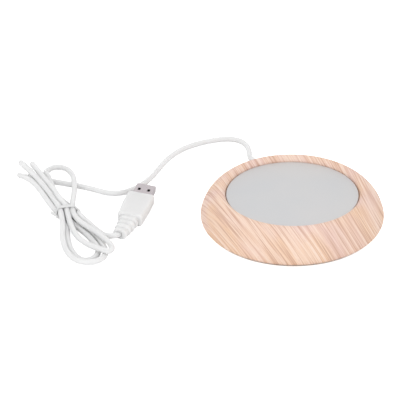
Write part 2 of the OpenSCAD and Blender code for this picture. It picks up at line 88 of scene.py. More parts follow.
class Nodes:
    """A material's node tree, with short ways to add and join nodes."""

    def __init__(self, name):
        self.mat = bpy.data.materials.new(name)
        self.mat.use_nodes = True
        self.tree = self.mat.node_tree
        self.bsdf = self.tree.nodes["Principled BSDF"]

    def add(self, kind, inputs=None, **props):
        n = self.tree.nodes.new(kind)
        for k, v in props.items():
            setattr(n, k, v)
        for k, v in (inputs or {}).items():
            self.put(v, n.inputs[k])
        return n

    def put(self, value, socket):
        if isinstance(value, bpy.types.NodeSocket):
            self.tree.links.new(value, socket)
        else:
            socket.default_value = value

    def set(self, **values):
        for k, v in values.items():
            self.put(v, self.bsdf.inputs[k.replace("_", " ")])

    def place(self, scale=(1, 1, 1)):
        """The model's own coordinates, scaled."""
        return self.scaled(self.add("ShaderNodeTexCoord").outputs["Object"], scale)

    def board(self):
        """Coordinates of the board: X along the grain, Y through the growth rings."""
        out = self.add("ShaderNodeTexCoord").outputs["Object"]
        for turn in ((0, 0, GRAIN_TURN), (GRAIN_TILT, 0, 0)):
            out = self.add("ShaderNodeMapping", {"Vector": out, "Rotation": turn}).outputs[0]
        x, y, z = self.add("ShaderNodeSeparateXYZ", {0: out}).outputs
        narrow = self.math("SUBTRACT", 1.0, self.math("DIVIDE", x, GRAIN_TAPER))
        y = self.math("DIVIDE", y, narrow)
        return self.add("ShaderNodeCombineXYZ", {0: x, 1: y, 2: z}).outputs[0]

    def scaled(self, vector, scale):
        return self.add("ShaderNodeMapping", {"Vector": vector, "Scale": scale}).outputs[0]

    def noise(self, vector, scale, detail=2.0, roughness=0.5):
        return self.add(
            "ShaderNodeTexNoise",
            {"Vector": vector, "Scale": scale, "Detail": detail, "Roughness": roughness},
        ).outputs["Fac"]

    def ramp(self, value, low, high, a=0.0, b=1.0):
        return self.add(
            "ShaderNodeMapRange",
            {"Value": value, "From Min": low, "From Max": high, "To Min": a, "To Max": b},
        ).outputs["Result"]

    def math(self, op, a, b):
        return self.add("ShaderNodeMath", {0: a, 1: b}, operation=op).outputs[0]

    def mix(self, fac, a, b):
        n = self.add("ShaderNodeMix", data_type="RGBA")
        for value, i in ((fac, 0), (a, 6), (b, 7)):
            self.put(value, n.inputs[i])
        return n.outputs[2]

    def bump(self, height, strength, distance):
        out = self.add(
            "ShaderNodeBump", {"Height": height, "Strength": strength, "Distance": distance}
        ).outputs["Normal"]
        self.put(out, self.bsdf.inputs["Normal"])


def srgb(r, g, b):
    def lin(c):
        c /= 255
        return c / 12.92 if c <= 0.04045 else ((c + 0.055) / 1.055) ** 2.4

    return (lin(r), lin(g), lin(b), 1.0)


GRAIN_TURN = math.radians(72)  # the grain runs from the back left to the front right
GRAIN_TILT = math.radians(-28)  # how far the growth rings lean in the board
GRAIN_TAPER = 0.35  # metres from the middle of the ring to where its lines would meet


def wood():
    """Pale beech: fine straight lines, soft tan and pink streaks, short pores."""
    m = Nodes("beech")
    board = m.board()
    sway = m.noise(m.scaled(board, (9, 22, 9)), 1.0, 1.0)
    drift = m.mix(sway, (0, 0, 0, 1), (0, 0.003, 0, 1))
    bent = m.add("ShaderNodeVectorMath", {0: board, 1: drift}, operation="ADD").outputs[0]
    fine = m.noise(m.scaled(bent, (30, 1250, 30)), 1.0, 1.0, 0.5)
    lines = m.noise(m.scaled(bent, (18, 420, 18)), 1.0, 2.0, 0.55)
    streaks = m.noise(m.scaled(bent, (22, 120, 22)), 1.0, 2.0, 0.5)
    patches = m.noise(m.scaled(bent, (30, 62, 30)), 1.0, 2.0, 0.5)
    pores = m.noise(m.scaled(bent, (420, 3800, 420)), 1.0, 1.0)
    pink, tan = srgb(243, 210, 199), srgb(246, 209, 179)
    pale, dark = srgb(255, 230, 214), srgb(214, 174, 152)
    base = m.mix(m.ramp(patches, 0.38, 0.62), pink, tan)
    base = m.mix(m.ramp(streaks, 0.5, 0.68, 0, 0.45), base, pale)
    base = m.mix(m.ramp(streaks, 0.46, 0.3, 0, 0.08), base, dark)
    base = m.mix(m.ramp(lines, 0.48, 0.3, 0, 0.1), base, dark)
    base = m.mix(m.ramp(fine, 0.5, 0.32, 0, 0.85), base, dark)
    base = m.mix(m.ramp(fine, 0.51, 0.68, 0, 0.9), base, pale)
    base = m.mix(m.ramp(pores, 0.62, 0.7, 0, 0.3), base, dark)
    m.set(
        Base_Color=base,
        Roughness=m.ramp(fine, 0.3, 0.7, 0.5, 0.62),
        IOR=1.45,
        Specular_IOR_Level=0.35,
    )
    m.bump(m.math("SUBTRACT", fine, m.ramp(pores, 0.62, 0.7, 0, 0.6)), 0.25, 0.00008)
    return m.mat


def plate_metal():
    """Satin anodised aluminium: a very fine bead-blasted grain."""
    m = Nodes("plate")
    grain = m.noise(m.place(), 2600.0, 3.0, 0.6)
    cloud = m.noise(m.place(), 26.0, 2.0, 0.5)
    colour = m.mix(m.ramp(cloud, 0.3, 0.7), srgb(209, 210, 212), srgb(214, 213, 213))
    m.set(Base_Color=colour, Metallic=0.6, Roughness=m.ramp(grain, 0.3, 0.7, 0.45, 0.55))
    m.bump(grain, 0.12, 0.00004)
    return m.mat


def lead_pvc():
    """Soft white PVC: a slightly uneven satin skin that lets light through."""
    m = Nodes("lead_pvc")
    cloud = m.noise(m.place(), 90.0, 2.0, 0.5)
    skin = m.noise(m.place(), 1700.0, 3.0, 0.6)
    m.set(
        Base_Color=m.mix(m.ramp(cloud, 0.3, 0.7), srgb(234, 234, 234), srgb(238, 238, 238)),
        Roughness=m.ramp(skin, 0.3, 0.7, 0.36, 0.5),
        Specular_IOR_Level=0.4,
        Subsurface_Weight=1.0,
        Subsurface_Radius=(1.0, 1.0, 1.0),
        Subsurface_Scale=0.003,
    )
    m.bump(skin, 0.1, 0.00005)
    return m.mat


def moulded(name, colour, rough, scale=2200.0, strength=0.2, depth=0.00005, spread=0.12):
    """Moulded plastic or rubber in one colour, with a fine texture and slight unevenness."""
    m = Nodes(name)
    cloud = m.noise(m.place(), 60.0, 2.0, 0.5)
    skin = m.noise(m.place(), scale, 3.0, 0.6)
    a = tuple(c * (1 - spread) for c in colour[:3]) + (1,)
    m.set(
        Base_Color=m.mix(cloud, a, colour),
        Roughness=m.ramp(skin, 0.3, 0.7, rough - 0.06, min(1.0, rough + 0.06)),
    )
    m.bump(skin, strength, depth)
    return m.mat


def metal(name, colour, rough, along=(1, 1, 1), scale=1500.0):
    """Bare metal with fine drawing lines along one axis."""
    m = Nodes(name)
    lines = m.noise(m.place(along), scale, 2.0, 0.6)
    a = tuple(c * 0.88 for c in colour[:3]) + (1,)
    m.set(
        Base_Color=m.mix(lines, a, colour),
        Metallic=1.0,
        Roughness=m.ramp(lines, 0.3, 0.7, rough - 0.05, rough + 0.1),
    )
    m.bump(lines, 0.08, 0.00003)
    return m.mat


MAT = {
    "beech": wood(),
    "plate": plate_metal(),
    "lead_pvc": lead_pvc(),
    "white_plastic": moulded("white_plastic", srgb(236, 236, 236), 0.45, spread=0.02),
    "shell_steel": metal("shell_steel", srgb(204, 196, 199), 0.3, (1, 0.2, 1)),
    "black_plastic": moulded("black_plastic", srgb(44, 42, 42), 0.55),
    "contacts": metal("contacts", srgb(222, 186, 112), 0.25),
    "cover_plastic": moulded("cover_plastic", srgb(58, 52, 48), 0.6, 1500.0, 0.4, 0.00008),
    "black_rubber": moulded("black_rubber", srgb(38, 38, 38), 0.8, 1100.0, 0.4, 0.0001),
    "silicone": moulded("silicone", srgb(222, 222, 216), 0.5),
    "film": moulded("film", srgb(206, 140, 52), 0.3),
    "solder": metal("solder", srgb(205, 205, 208), 0.25),
    "pad_felt": moulded("pad_felt", srgb(236, 232, 220), 0.95, 900.0, 0.9, 0.0003),
    "cutout_case": metal("cutout_case", srgb(196, 196, 200), 0.35),
    "red_insulation": moulded("red_insulation", srgb(190, 34, 28), 0.4),
    "black_insulation": moulded("black_insulation", srgb(40, 40, 42), 0.4),
    "screw_steel": metal("screw_steel", srgb(176, 176, 180), 0.3),
}

# ---- Mesh tools ----


def piece(name, points, faces, slot, sharp=40.0, at=None):
    """A mesh piece that rides on the model. at is a matrix in millimetres."""
    points = np.asarray(points, float)
    if at is not None:
        points = points @ at[:3, :3].T + at[:3, 3]
    mesh = bpy.data.meshes.new(name)
    mesh.from_pydata((points * MM).tolist(), [], faces)
    mesh.validate()
    bm = bmesh.new()
    bm.from_mesh(mesh)
    bmesh.ops.recalc_face_normals(bm, faces=bm.faces)
    bm.to_mesh(mesh)
    bm.free()
    mesh.polygons.foreach_set("use_smooth", [True] * len(mesh.polygons))
    mesh.set_sharp_from_angle(angle=math.radians(sharp))
    mesh.materials.append(MAT[slot])
    o = bpy.data.objects.new(name, mesh)
    scene.collection.objects.link(o)
    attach(o, "root")
    return o


def turn_about(axis, degrees):
    return np.array(Matrix.Rotation(math.radians(degrees), 4, axis))


def move(x, y, z):
    m = np.eye(4)
    m[:3, 3] = x, y, z
    return m


def arc(centre, r, start, end, n):
    a = np.radians(np.linspace(start, end, n + 1))
    return [(centre[0] + r * math.cos(t), centre[1] + r * math.sin(t)) for t in a]


def rounded_line(corners, closed=False, n=6):
    """A line through corners (x, y, radius), each rounded with n steps."""
    out = []
    count = len(corners)
    for i, (x, y, r) in enumerate(corners):
        if r <= 0 or (not closed and i in (0, count - 1)):
            out.append((x, y))
            continue
        p = np.array([x, y], float)
        a = np.array(corners[i - 1][:2], float) - p
        b = np.array(corners[(i + 1) % count][:2], float) - p
        a, b = a / np.linalg.norm(a), b / np.linalg.norm(b)
        half = math.acos(max(-1, min(1, float(a @ b)))) / 2
        centre = p + (a + b) / np.linalg.norm(a + b) * r / math.sin(half)
        u, v = p + a * r / math.tan(half) - centre, p + b * r / math.tan(half) - centre
        total = math.pi - 2 * half
        for k in range(n + 1):
            t = k / n
            q = (math.sin((1 - t) * total) * u + math.sin(t * total) * v) / math.sin(total)
            out.append(tuple(centre + q))
    return out


def lathe(name, profile, slot, segments=96, closed=False, sharp=40.0, at=None):
    """Turns a profile of (radius, height) round Z. A radius of 0 is one point on the axis."""
    points, rings = [], []
    for r, z in profile:
        if abs(r) < 1e-6:
            rings.append([len(points)])
            points.append((0, 0, z))
            continue
        rings.append(list(range(len(points), len(points) + segments)))
        for k in range(segments):
            a = 2 * math.pi * k / segments
            points.append((r * math.cos(a), r * math.sin(a), z))
    faces = []
    pairs = list(zip(rings, rings[1:])) + ([(rings[-1], rings[0])] if closed else [])
    for a, b in pairs:
        for k in range(segments):
            j = (k + 1) % segments
            if len(a) == 1:
                faces.append((a[0], b[j], b[k]))
            elif len(b) == 1:
                faces.append((a[k], a[j], b[0]))
            else:
                faces.append((a[k], a[j], b[j], b[k]))
    return piece(name, points, faces, slot, sharp, at)


def loft_faces(rings, size, caps=True):
    faces = []
    for i in range(rings - 1):
        for k in range(size):
            a, b = i * size + k, i * size + (k + 1) % size
            faces.append((a, b, b + size, a + size))
    if caps:
        faces.append(tuple(range(size - 1, -1, -1)))
        faces.append(tuple((rings - 1) * size + k for k in range(size)))
    return faces


def frames_along(path):
    """Two directions across a path, at each of its points, that don't twist along it."""
    t = np.gradient(path, axis=0)
    t /= np.linalg.norm(t, axis=1)[:, None]
    side = np.cross(t[0], [0, 0, 1.0])
    sides = []
    for d in t:
        side = side - (side @ d) * d
        side = side / np.linalg.norm(side)
        sides.append(side)
    sides = np.array(sides)
    return sides, np.cross(sides, t)


# ---- The lead: stations of its route, in order from the ring to the plug ----

LEAD_D = 3.5
STRAND_GAP = 3.4  # between the middles of touching strands, a little pressed together
ROUGH_STEP, FINE_STEP = 1.5, 1.0  # between the route's points while it settles, and after
EXIT = (-19.16, 58.97, 7.2)


def fold(centre, out, over, r):
    """A half turn of the lead at the end of a finger, from its lower to its upper strand."""
    c, f, v = np.array(centre), np.array(out), np.array(over)
    angles = [math.radians(a) for a in range(-90, 91, 30)]
    return [c + r * (math.cos(a) * f + math.sin(a) * v) for a in angles]


# Out of the ring, along the table and under the other strands to the first finger's tip.
FROM_RING = [
    EXIT, (-20.1, 61.82, 7.2), (-21.8, 68.5, 5.8), (-22.5, 74, 3.6), (-22.7, 80, 2),
    (-22.8, 86, 1.8), (-24.2, 94, 1.8), (-27.6, 100.3, 1.8), (-33, 103.4, 1.8),
    (-40, 103.6, 1.8), (-48, 101.5, 1.8), (-57, 97.5, 1.8), (-65, 91.7, 1.8), (-71.6, 84, 1.8),
    (-77, 74.5, 1.8), (-81.5, 64, 1.8), (-86, 53.5, 1.8), (-92, 44, 1.8), (-99.5, 37.2, 1.8),
    (-107, 34.5, 1.8), (-114, 36, 1.8), (-121, 40, 1.8), (-129, 44.2, 1.8), (-136.2, 47.3, 1.8),
    (-141.3, 49.2, 1.8), (-146.7, 51.4, 1.8), (-154.9, 54.6, 1.8),
]
FINGER_A = fold((-163.7, 53.0, 4.5), (-0.89, 0.45, 0), (-0.38, -0.75, 0.54), 5.0) + [
    (-164, 47.1, 7.6), (-160.8, 43.9, 7.6), (-157.8, 39.8, 7.4), (-155.2, 35.5, 7.2),
    (-152.9, 31, 6.9), (-150.5, 25.7, 6.3), (-147.8, 21.2, 5.3), (-144, 14.8, 3.8),
]
WAIST_1 = [(-141.6, 12.4, 3), (-140.3, 9, 2.6), (-138.4, 5, 2)]
LOW_LOOP = [
    (-137, 0.6, 1.8), (-135.3, -4.1, 1.8), (-134.6, -12.3, 1.8), (-133.8, -19.8, 1.8),
    (-132.2, -27.6, 1.8), (-130, -34.3, 1.8), (-127, -39.9, 1.8), (-123.8, -43.1, 1.8),
    (-120.8, -43.4, 1.8), (-118, -41.6, 1.8), (-116, -38.5, 1.8), (-115, -34.8, 1.8),
    (-115.4, -30.1, 1.8), (-116.9, -25.3, 1.8), (-119.3, -19.3, 1.8), (-122.7, -12.5, 1.8),
    (-129, -3.4, 1.8), (-134.4, 3.6, 2),
]
WAIST_2 = [(-135.6, 6.4, 2.4), (-137.1, 9.9, 2.6), (-139.2, 13.6, 2.6)]
FINGER_B = [
    (-143.2, 18.6, 2.6), (-148.9, 30.4, 3.2), (-151.5, 35, 4.4), (-154.6, 40.2, 5),
    (-158.2, 46.3, 5.3), (-160.9, 51.8, 5.3),
] + fold((-164.2, 58.2, 7.5), (-0.45, 0.89, 0), (-0.55, -0.27, 0.79), 5.1) + [
    (-162.6, 51.1, 10.6), (-157.6, 44.1, 9.8), (-154.3, 38.5, 9.2), (-150.8, 32.2, 8.6),
    (-147.9, 27.2, 7.8), (-145.2, 22.2, 6.8), (-142, 16, 5.8),
]
WAIST_3 = [(-140.4, 11.6, 5.7), (-139.5, 7.7, 5.4)]
OUTER_LOOP = [
    (-138.7, 3.5, 4.9), (-138.1, -0.9, 4.5), (-137.6, -5, 4.1), (-137.3, -9.7, 3.8),
    (-137.1, -15.9, 3.7), (-136.7, -21.5, 3.6), (-135.5, -28.8, 3.5), (-133.3, -36.2, 3.5),
    (-130.2, -42.2, 3.5), (-126.4, -46.3, 3.5), (-121.8, -48, 3.5), (-117.4, -47.8, 3.5),
    (-114.2, -45.2, 3.2), (-112.1, -41.7, 2.8), (-111.1, -37, 2.2), (-111.3, -32.5, 1.8),
    (-112.6, -28.5, 1.8), (-114.1, -24.5, 1.8), (-116.3, -19.4, 1.8), (-123, -10.2, 1.8),
    (-128.4, -1.4, 1.9),
]
WAIST_4 = [(-132, 5.6, 2.4), (-133.8, 10.2, 2.6), (-136, 15, 2.6)]
FINGER_C = [
    (-142.2, 21.4, 1.9), (-147.2, 28.1, 2.2), (-150.2, 35.7, 3.8), (-152.4, 42.5, 4.8),
    (-153.6, 50, 5.3),
] + fold((-157, 55.9, 7.7), (-0.5, 0.87, 0), (-0.46, -0.26, 0.85), 4.9) + [
    (-157.3, 51.1, 10.8), (-155, 47.2, 10.4), (-152.7, 42.7, 9.8), (-150.6, 38.1, 9.4),
    (-147.9, 32.9, 9), (-145.3, 27.7, 8.6), (-142.4, 20.8, 7.8), (-139.8, 16.1, 6.9),
]
WAIST_5 = [(-137.2, 12.2, 5.7), (-136.1, 7.7, 5.6)]
INNER_LOOP = [
    (-135, 2.4, 4.9), (-133.7, -3.3, 4.2), (-132.1, -8.8, 3.7), (-130.1, -15.2, 3.6),
    (-127.4, -21.6, 3.8), (-124.1, -26.9, 4.2), (-120.4, -31.8, 4.6), (-116.7, -35.2, 4.9),
    (-113.4, -37.6, 5), (-110.6, -39.4, 4.8), (-108.6, -39.2, 4.5), (-107.1, -37.5, 4.3),
    (-106.9, -34.7, 4.2), (-107.8, -31.4, 4.2), (-109.4, -28.2, 4.4), (-111.6, -25, 4.6),
    (-113.9, -21.5, 4.8), (-116.6, -17.9, 4.9), (-119.4, -14.4, 4.9), (-122.3, -10.8, 4.8),
    (-125.2, -7.2, 4.8), (-127.6, -4.1, 4.8), (-129.8, -0, 4.9), (-131.9, 5.1, 5.1),
]
WAIST_6 = [(-132.7, 9.5, 5.6), (-132.8, 12.9, 5.6)]
WIDE_LOOP = [
    (-133, 18.2, 5.5), (-132.8, 26, 5.3), (-132.8, 33.2, 5.3), (-133.2, 40.3, 5.3),
    (-133.9, 47.2, 4.6), (-135.4, 56, 3), (-138.2, 64, 2), (-141.8, 68.4, 1.8),
    (-146, 69.9, 1.8), (-149.9, 68.9, 1.8), (-152.5, 65.9, 1.8), (-154, 61.9, 2),
    (-153.9, 58.4, 3.6), (-151.4, 50.9, 5.3), (-149.2, 43.3, 5.1), (-146.7, 35.4, 4.7),
    (-144.2, 27.6, 4.2), (-140.5, 21.9, 3.4),
]
WAIST_7 = [(-137.6, 18.5, 2.2), (-134.5, 14.9, 1.9), (-131.3, 10.5, 2.4)]
TO_PLUG = [
    (-128, 1.6, 5.2), (-125.5, -1.9, 4.8), (-122.5, -5.4, 4.3), (-119.4, -9.4, 3.6),
    (-116.3, -13, 3), (-112.6, -17, 2.8), (-109.3, -19, 3.1), (-106.8, -19.7, 3.7),
    (-103.4, -18.5, 4), (-102.5, -16.7, 4.1), (-101.4, -14, 4.2),
]
# Each list goes on where the one before it ends.
STATIONS = (
    FROM_RING + FINGER_A + WAIST_1 + LOW_LOOP + WAIST_2 + FINGER_B + WAIST_3 + OUTER_LOOP
    + WAIST_4 + FINGER_C + WAIST_5 + INNER_LOOP + WAIST_6 + WIDE_LOOP + WAIST_7 + TO_PLUG
)


def smooth_curve(stations, n=12):
    """A centripetal Catmull-Rom curve through the stations."""
    p = np.array(stations, float)
    ends = np.vstack([2 * p[0] - p[1], p, 2 * p[-1] - p[-2]])
    out = []
    for i in range(len(p) - 1):
        a, b, c, d = ends[i : i + 4]
        ta = math.sqrt(np.linalg.norm(b - a))
        tb = ta + math.sqrt(np.linalg.norm(c - b))
        tc = tb + math.sqrt(np.linalg.norm(d - c))
        for k in range(n):
            t = ta + (tb - ta) * k / n
            ab = ((ta - t) * a + t * b) / ta
            bc = ((tb - t) * b + (t - ta) * c) / (tb - ta)
            cd = ((tc - t) * c + (t - tb) * d) / (tc - tb)
            low = ((tb - t) * ab + t * bc) / tb
            high = ((tc - t) * bc + (t - ta) * cd) / (tc - ta)
            out.append(((tb - t) * low + (t - ta) * high) / (tb - ta))
    return np.array(out + [p[-1]])


def spaced(line, step):
    s = np.r_[0, np.cumsum(np.linalg.norm(np.diff(line, axis=0), axis=1))]
    t = np.linspace(0, s[-1], int(round(s[-1] / step)) + 1)
    return np.stack([np.interp(t, s, line[:, k]) for k in range(3)], 1)


def blurred(a, sigma):
    k = int(3 * sigma) + 1
    w = np.exp(-0.5 * (np.arange(-k, k + 1) / sigma) ** 2)
    w /= w.sum()
    p = np.vstack([np.repeat(a[:1], k, 0), a, np.repeat(a[-1:], k, 0)])
    return np.stack([np.convolve(p[:, j], w, "valid") for j in range(3)], 1)


PUSH, LIFT, KEEP = 1.3, 0.8, 0.998  # shares per round: pushed, lifted off the floor, kept


def settled(line, gap, floor, rounds=240, reach=3.0, skip=9, hold=8):
    """Pushes strands of the lead apart until they lie on and beside each other.

    A push spreads over reach along the lead. Points less than skip apart along it don't
    push each other, and the last hold before either end moves less and less.
    """
    step = np.linalg.norm(np.diff(line, axis=0), axis=1).mean()
    n = len(line)
    i, j = np.triu_indices(n, int(skip / step))
    shift = np.zeros_like(line)
    from_end = np.minimum(np.arange(n), np.arange(n)[::-1]) * step
    free = np.minimum(from_end / hold, 1)[:, None]
    for _ in range(rounds):
        q = line + shift
        near = np.abs(q[i, 0] - q[j, 0]) < gap
        a, b = i[near], j[near]
        d = q[a] - q[b]
        far = np.linalg.norm(d, axis=1)
        near = far < gap
        a, b, d, far = a[near], b[near], d[near], far[near]
        push, count = np.zeros_like(line), np.zeros(n)
        force = d / np.maximum(far, 0.2)[:, None] * ((gap - far) * 0.5)[:, None]
        np.add.at(push, a, force)
        np.add.at(push, b, -force)
        np.add.at(count, a, 1)
        np.add.at(count, b, 1)
        push /= np.maximum(count, 1)[:, None]
        push[:, 2] += np.maximum(floor - q[:, 2], 0) * LIFT
        shift = blurred(shift + PUSH * push, reach / step * 0.5) * KEEP * free
    q = line + shift
    q[:, 2] = np.maximum(q[:, 2], floor)
    return q


route = blurred(spaced(smooth_curve(STATIONS), ROUGH_STEP), 1.0)
route = settled(route, STRAND_GAP, LEAD_D / 2)
route = spaced(smooth_curve(route, 3), FINE_STEP)


def tube(name, path, r, slot, sides=16):
    points = []
    for p, a, b in zip(path, *frames_along(path)):
        for k in range(sides):
            t = 2 * math.pi * k / sides
            points.append(p + r * (math.cos(t) * a + math.sin(t) * b))
    return piece(name, points, loft_faces(len(path), sides), slot, 60.0)


lead = tube("usb_lead", route, LEAD_D / 2, "lead_pvc")
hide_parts("cord_lead", "cord_hank", "cord_tail")

# ---- The bush that carries the lead out of the ring ----

CORD_ANGLE = 108.0
CORD_H = 7.2
along_exit = move(0, 0, CORD_H) @ turn_about("Z", CORD_ANGLE) @ turn_about("Y", 90)
BUSH = [  # radius, distance from the ring's middle, rounding: bush, collar, grooved nose
    (1.8, 45.0, 0), (2.7, 45.0, 0.3), (2.7, 53.2, 0), (3.9, 53.2, 0), (3.9, 55.4, 0.35),
    (2.7, 55.4, 0.3), (2.66, 56.4, 0), (2.4, 56.5, 0), (2.4, 57.1, 0), (2.63, 57.2, 0),
    (2.59, 58.3, 0), (2.34, 58.4, 0), (2.34, 59.0, 0), (2.56, 59.1, 0), (2.52, 60.2, 0),
    (2.28, 60.3, 0), (2.28, 60.9, 0), (2.49, 61.0, 0), (2.45, 62.0, 0.3), (1.8, 62.0, 0),
]
bush = lathe(
    "lead_bush", rounded_line(BUSH, closed=True, n=5), "lead_pvc", 48, True, 50.0, along_exit
)
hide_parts("cord_bush")

# ---- The twist tie round the waist of the hank ----

WAIST = np.array([-135.4, 9.4, 0.0])
WAIST_TURN = 9.0
HALF_WAIST = 12.0
TIE_W = 2.9
TIE_OFF = 0.22  # from the lead's skin to the line that the band follows
TIE_LOW = 0.25  # the lowest height of that line
BAND_THICK, END_THICK = 0.9, 1.8
at_waist = move(*WAIST) @ turn_about("Z", WAIST_TURN)
to_waist = np.linalg.inv(at_waist)


def waist_strands():
    """Where the strands pass through the waist: (across, height) of each."""
    local = route @ to_waist[:3, :3].T + to_waist[:3, 3]
    found = []
    for a, b in zip(local, local[1:]):
        if a[1] * b[1] < 0 and abs(a[0]) < HALF_WAIST:
            t = a[1] / (a[1] - b[1])
            p = a + t * (b - a)
            found.append((p[0], p[2]))
    return np.array(found)


def band_line(n=120):
    """The band's line round all strands, as a tight loop."""
    strands = waist_strands()
    r = LEAD_D / 2 + TIE_OFF
    out = []
    for k in range(n):
        a = 2 * math.pi * k / n
        d = np.array([math.cos(a), math.sin(a)])
        out.append(strands[np.argmax(strands @ d)] + r * d)
    loop = np.array([[x, 0, max(z, TIE_LOW)] for x, z in out])
    closed = np.vstack([loop, loop[:1]])
    return spaced(closed, 0.5)[:-1]


TIE_SECTION = [  # shares of the ribbon's width and thickness, with the wire's ridge on top
    (-0.5, -0.06), (-0.16, -0.07), (0, -0.07), (0.16, -0.07), (0.5, -0.06),
    (0.5, 0.06), (0.2, 0.08), (0.12, 0.2), (0.05, 0.27), (-0.05, 0.27), (-0.12, 0.2),
    (-0.2, 0.08), (-0.5, 0.06),
]


def ribbon(path, flat, width, thick, closed=False):
    """A flat ribbon along a path. flat is the way that its width points at each point."""
    points = []
    tangents = np.roll(path, -1, 0) - np.roll(path, 1, 0) if closed else np.gradient(path, axis=0)
    for p, t, f, w in zip(path, tangents, flat, width):
        t = t / np.linalg.norm(t)
        f = f - (f @ t) * t
        f = f / np.linalg.norm(f)
        up = np.cross(f, t)
        for x, y in TIE_SECTION:
            points.append(p + x * w * f + y * thick * up)
    size, rings = len(TIE_SECTION), len(path)
    faces = loft_faces(rings, size, caps=not closed)
    if closed:
        last = (rings - 1) * size
        for k in range(size):
            j = (k + 1) % size
            faces.append((last + k, last + j, j, k))
    return points, faces


TIE_ENDS = [  # points from the band's left side, then the lean and width at start and end
    (
        [(0.9, -1.2, 0), (0.1, -1.0, 0), (-0.8, -0.3, 0.2), (-1.9, 0.9, 0.5), (-2.9, 2.2, 0.8)],
        (50, 75),
        (1.8, 1.7),
    ),
    (
        [(1.1, 0.2, 0.2), (0.7, -0.6, 0.3), (0.6, -1.7, 0.2), (0.6, -2.8, 0), (0.6, -3.8, -0.3)],
        (30, -30),
        (2.1, 1.9),
    ),
]


def tie_end(points, lean, width):
    """A free end of the tie. lean is how far its face turns from straight up, in degrees."""
    path = spaced(smooth_curve(points, 8), 0.4)
    ahead = np.gradient(path, axis=0)
    side = np.cross(ahead, (0, 0, 1.0))
    side /= np.linalg.norm(side, axis=1)[:, None]
    over = np.cross(side, ahead)
    over /= np.linalg.norm(over, axis=1)[:, None]
    t = np.radians(np.linspace(*lean, len(path)))[:, None]
    flat = np.cos(t) * side + np.sin(t) * over
    return ribbon(path, flat, np.linspace(*width, len(path)), END_THICK)


def make_tie():
    loop = band_line()
    lengthwise = np.tile([0, 1.0, 0], (len(loop), 1))
    parts = [ribbon(loop, lengthwise, np.full(len(loop), TIE_W), BAND_THICK, closed=True)]
    x, _, z = loop[np.argmin(loop[:, 0])]
    for points, lean, width in TIE_ENDS:
        parts.append(tie_end(np.array(points) + (x, 0, z), lean, width))
    points, faces = [], []
    for p, f in parts:
        first = len(points)
        points += list(p)
        faces += [tuple(first + i for i in face) for face in f]
    return piece("tie", points, faces, "white_plastic", 35.0, at_waist)


tie = make_tie()
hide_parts("twist_tie")

# ---- The plug's moulded grip and ribbed sleeve ----

# Along the plug, x is 0 at the grip's face and falls towards the lead. Rows across it are
# rounded rectangles of some width, height and corner radius.

PLUG = (-91.2, 21.4, 5.75)
PLUG_TURN, PLUG_RISE, PLUG_LEAN = 75, -2.5, 4.5
at_plug = (
    move(*PLUG) @ turn_about("Z", PLUG_TURN) @ turn_about("Y", PLUG_RISE)
    @ turn_about("X", PLUG_LEAN)
)
MOUTH_W, MOUTH_H = 12.24, 4.74  # the shell's, with 0.12 mm round it
MOUTH = [(-2.4, 0, 0.5), (-0.3, 0, 0.5), (-0.06, 0.12, 0.55), (0, 0.4, 0.7)]  # x, more, radius
GRIP_L, GRIP_W, GRIP_H, GRIP_R = 25.0, 17.0, 8.0, 2.0
FACE_EDGE = [(0, 1, 1.6), (-0.08, 0.6, 1.8), (-0.3, 0.25, 1.95), (-0.7, 0, 2)]  # x, less, radius
GRIP_TAPER = [(-6, 17), (-12.5, 17), (-15, 16.65), (-18, 16.25), (-21, 15.9), (-23.6, 15.6)]
SHOULDER_L, SHOULDER_W = 1.2, 15.6
SHOULDER_LESS = (2.6, 1.0, 0.3)  # what it takes off width, height and radius
BOOT_L = 17.0
BOOT_IN = 0.15  # how far the sleeve starts inside the grip
BOOT_BEND = 8.0  # degrees from its start to its end
BOOT_W = [11.0, 12.2, 9.7, 11.4, 8.7, 10.4, 8.0, 8.8]  # groove and rib in turn
BOOT_H = [6.4, 7.4, 5.8, 7.2, 5.6, 7.0, 5.5, 6.6]
GROOVE_START, GROOVE_END = 0.25, 0.1  # from the ribs on its two sides
FLAT = 0.1  # what the corners' radius leaves of half the height
RIB_EDGE = [  # along the rib, less
    (0.0, 0.6), (0.1, 0.25), (0.3, 0.04), (0.6, 0.0), (1.5, 0.0), (1.8, 0.04), (2.0, 0.25),
    (2.1, 0.6),
]
BOOT_END = [  # past the sleeve's end, width, height, radius: the end face and the lead's hole
    (0.12, 7.3, 5.3, 2.5), (0.3, 4.3, 4.3, 2.1), (0.25, 3.6, 3.6, 1.78), (-1.8, 3.6, 3.6, 1.78),
]


def section(w, h, r, per_corner=9):
    """A rounded rectangle across the plug: its points (across, height)."""
    r = min(r, w / 2 - 1e-4, h / 2 - 1e-4)
    out = []
    for i, (sx, sy) in enumerate(((1, 1), (-1, 1), (-1, -1), (1, -1))):
        out += arc((sx * (w / 2 - r), sy * (h / 2 - r)), r, 90 * i, 90 * i + 90, per_corner - 1)
    return out


def boot_place(s):
    """The middle of the sleeve at s from its start, and how far it has turned there."""
    step = BOOT_L / len(BOOT_W)
    p, a = np.array([-GRIP_L + BOOT_IN, 0.0]), 0.0
    for i in range(len(BOOT_W)):
        a -= BOOT_BEND / len(BOOT_W)
        d = -np.array([math.cos(math.radians(a)), math.sin(math.radians(a))])
        if s <= (i + 1) * step or i == len(BOOT_W) - 1:
            return p + d * (s - i * step), a
        p = p + d * step


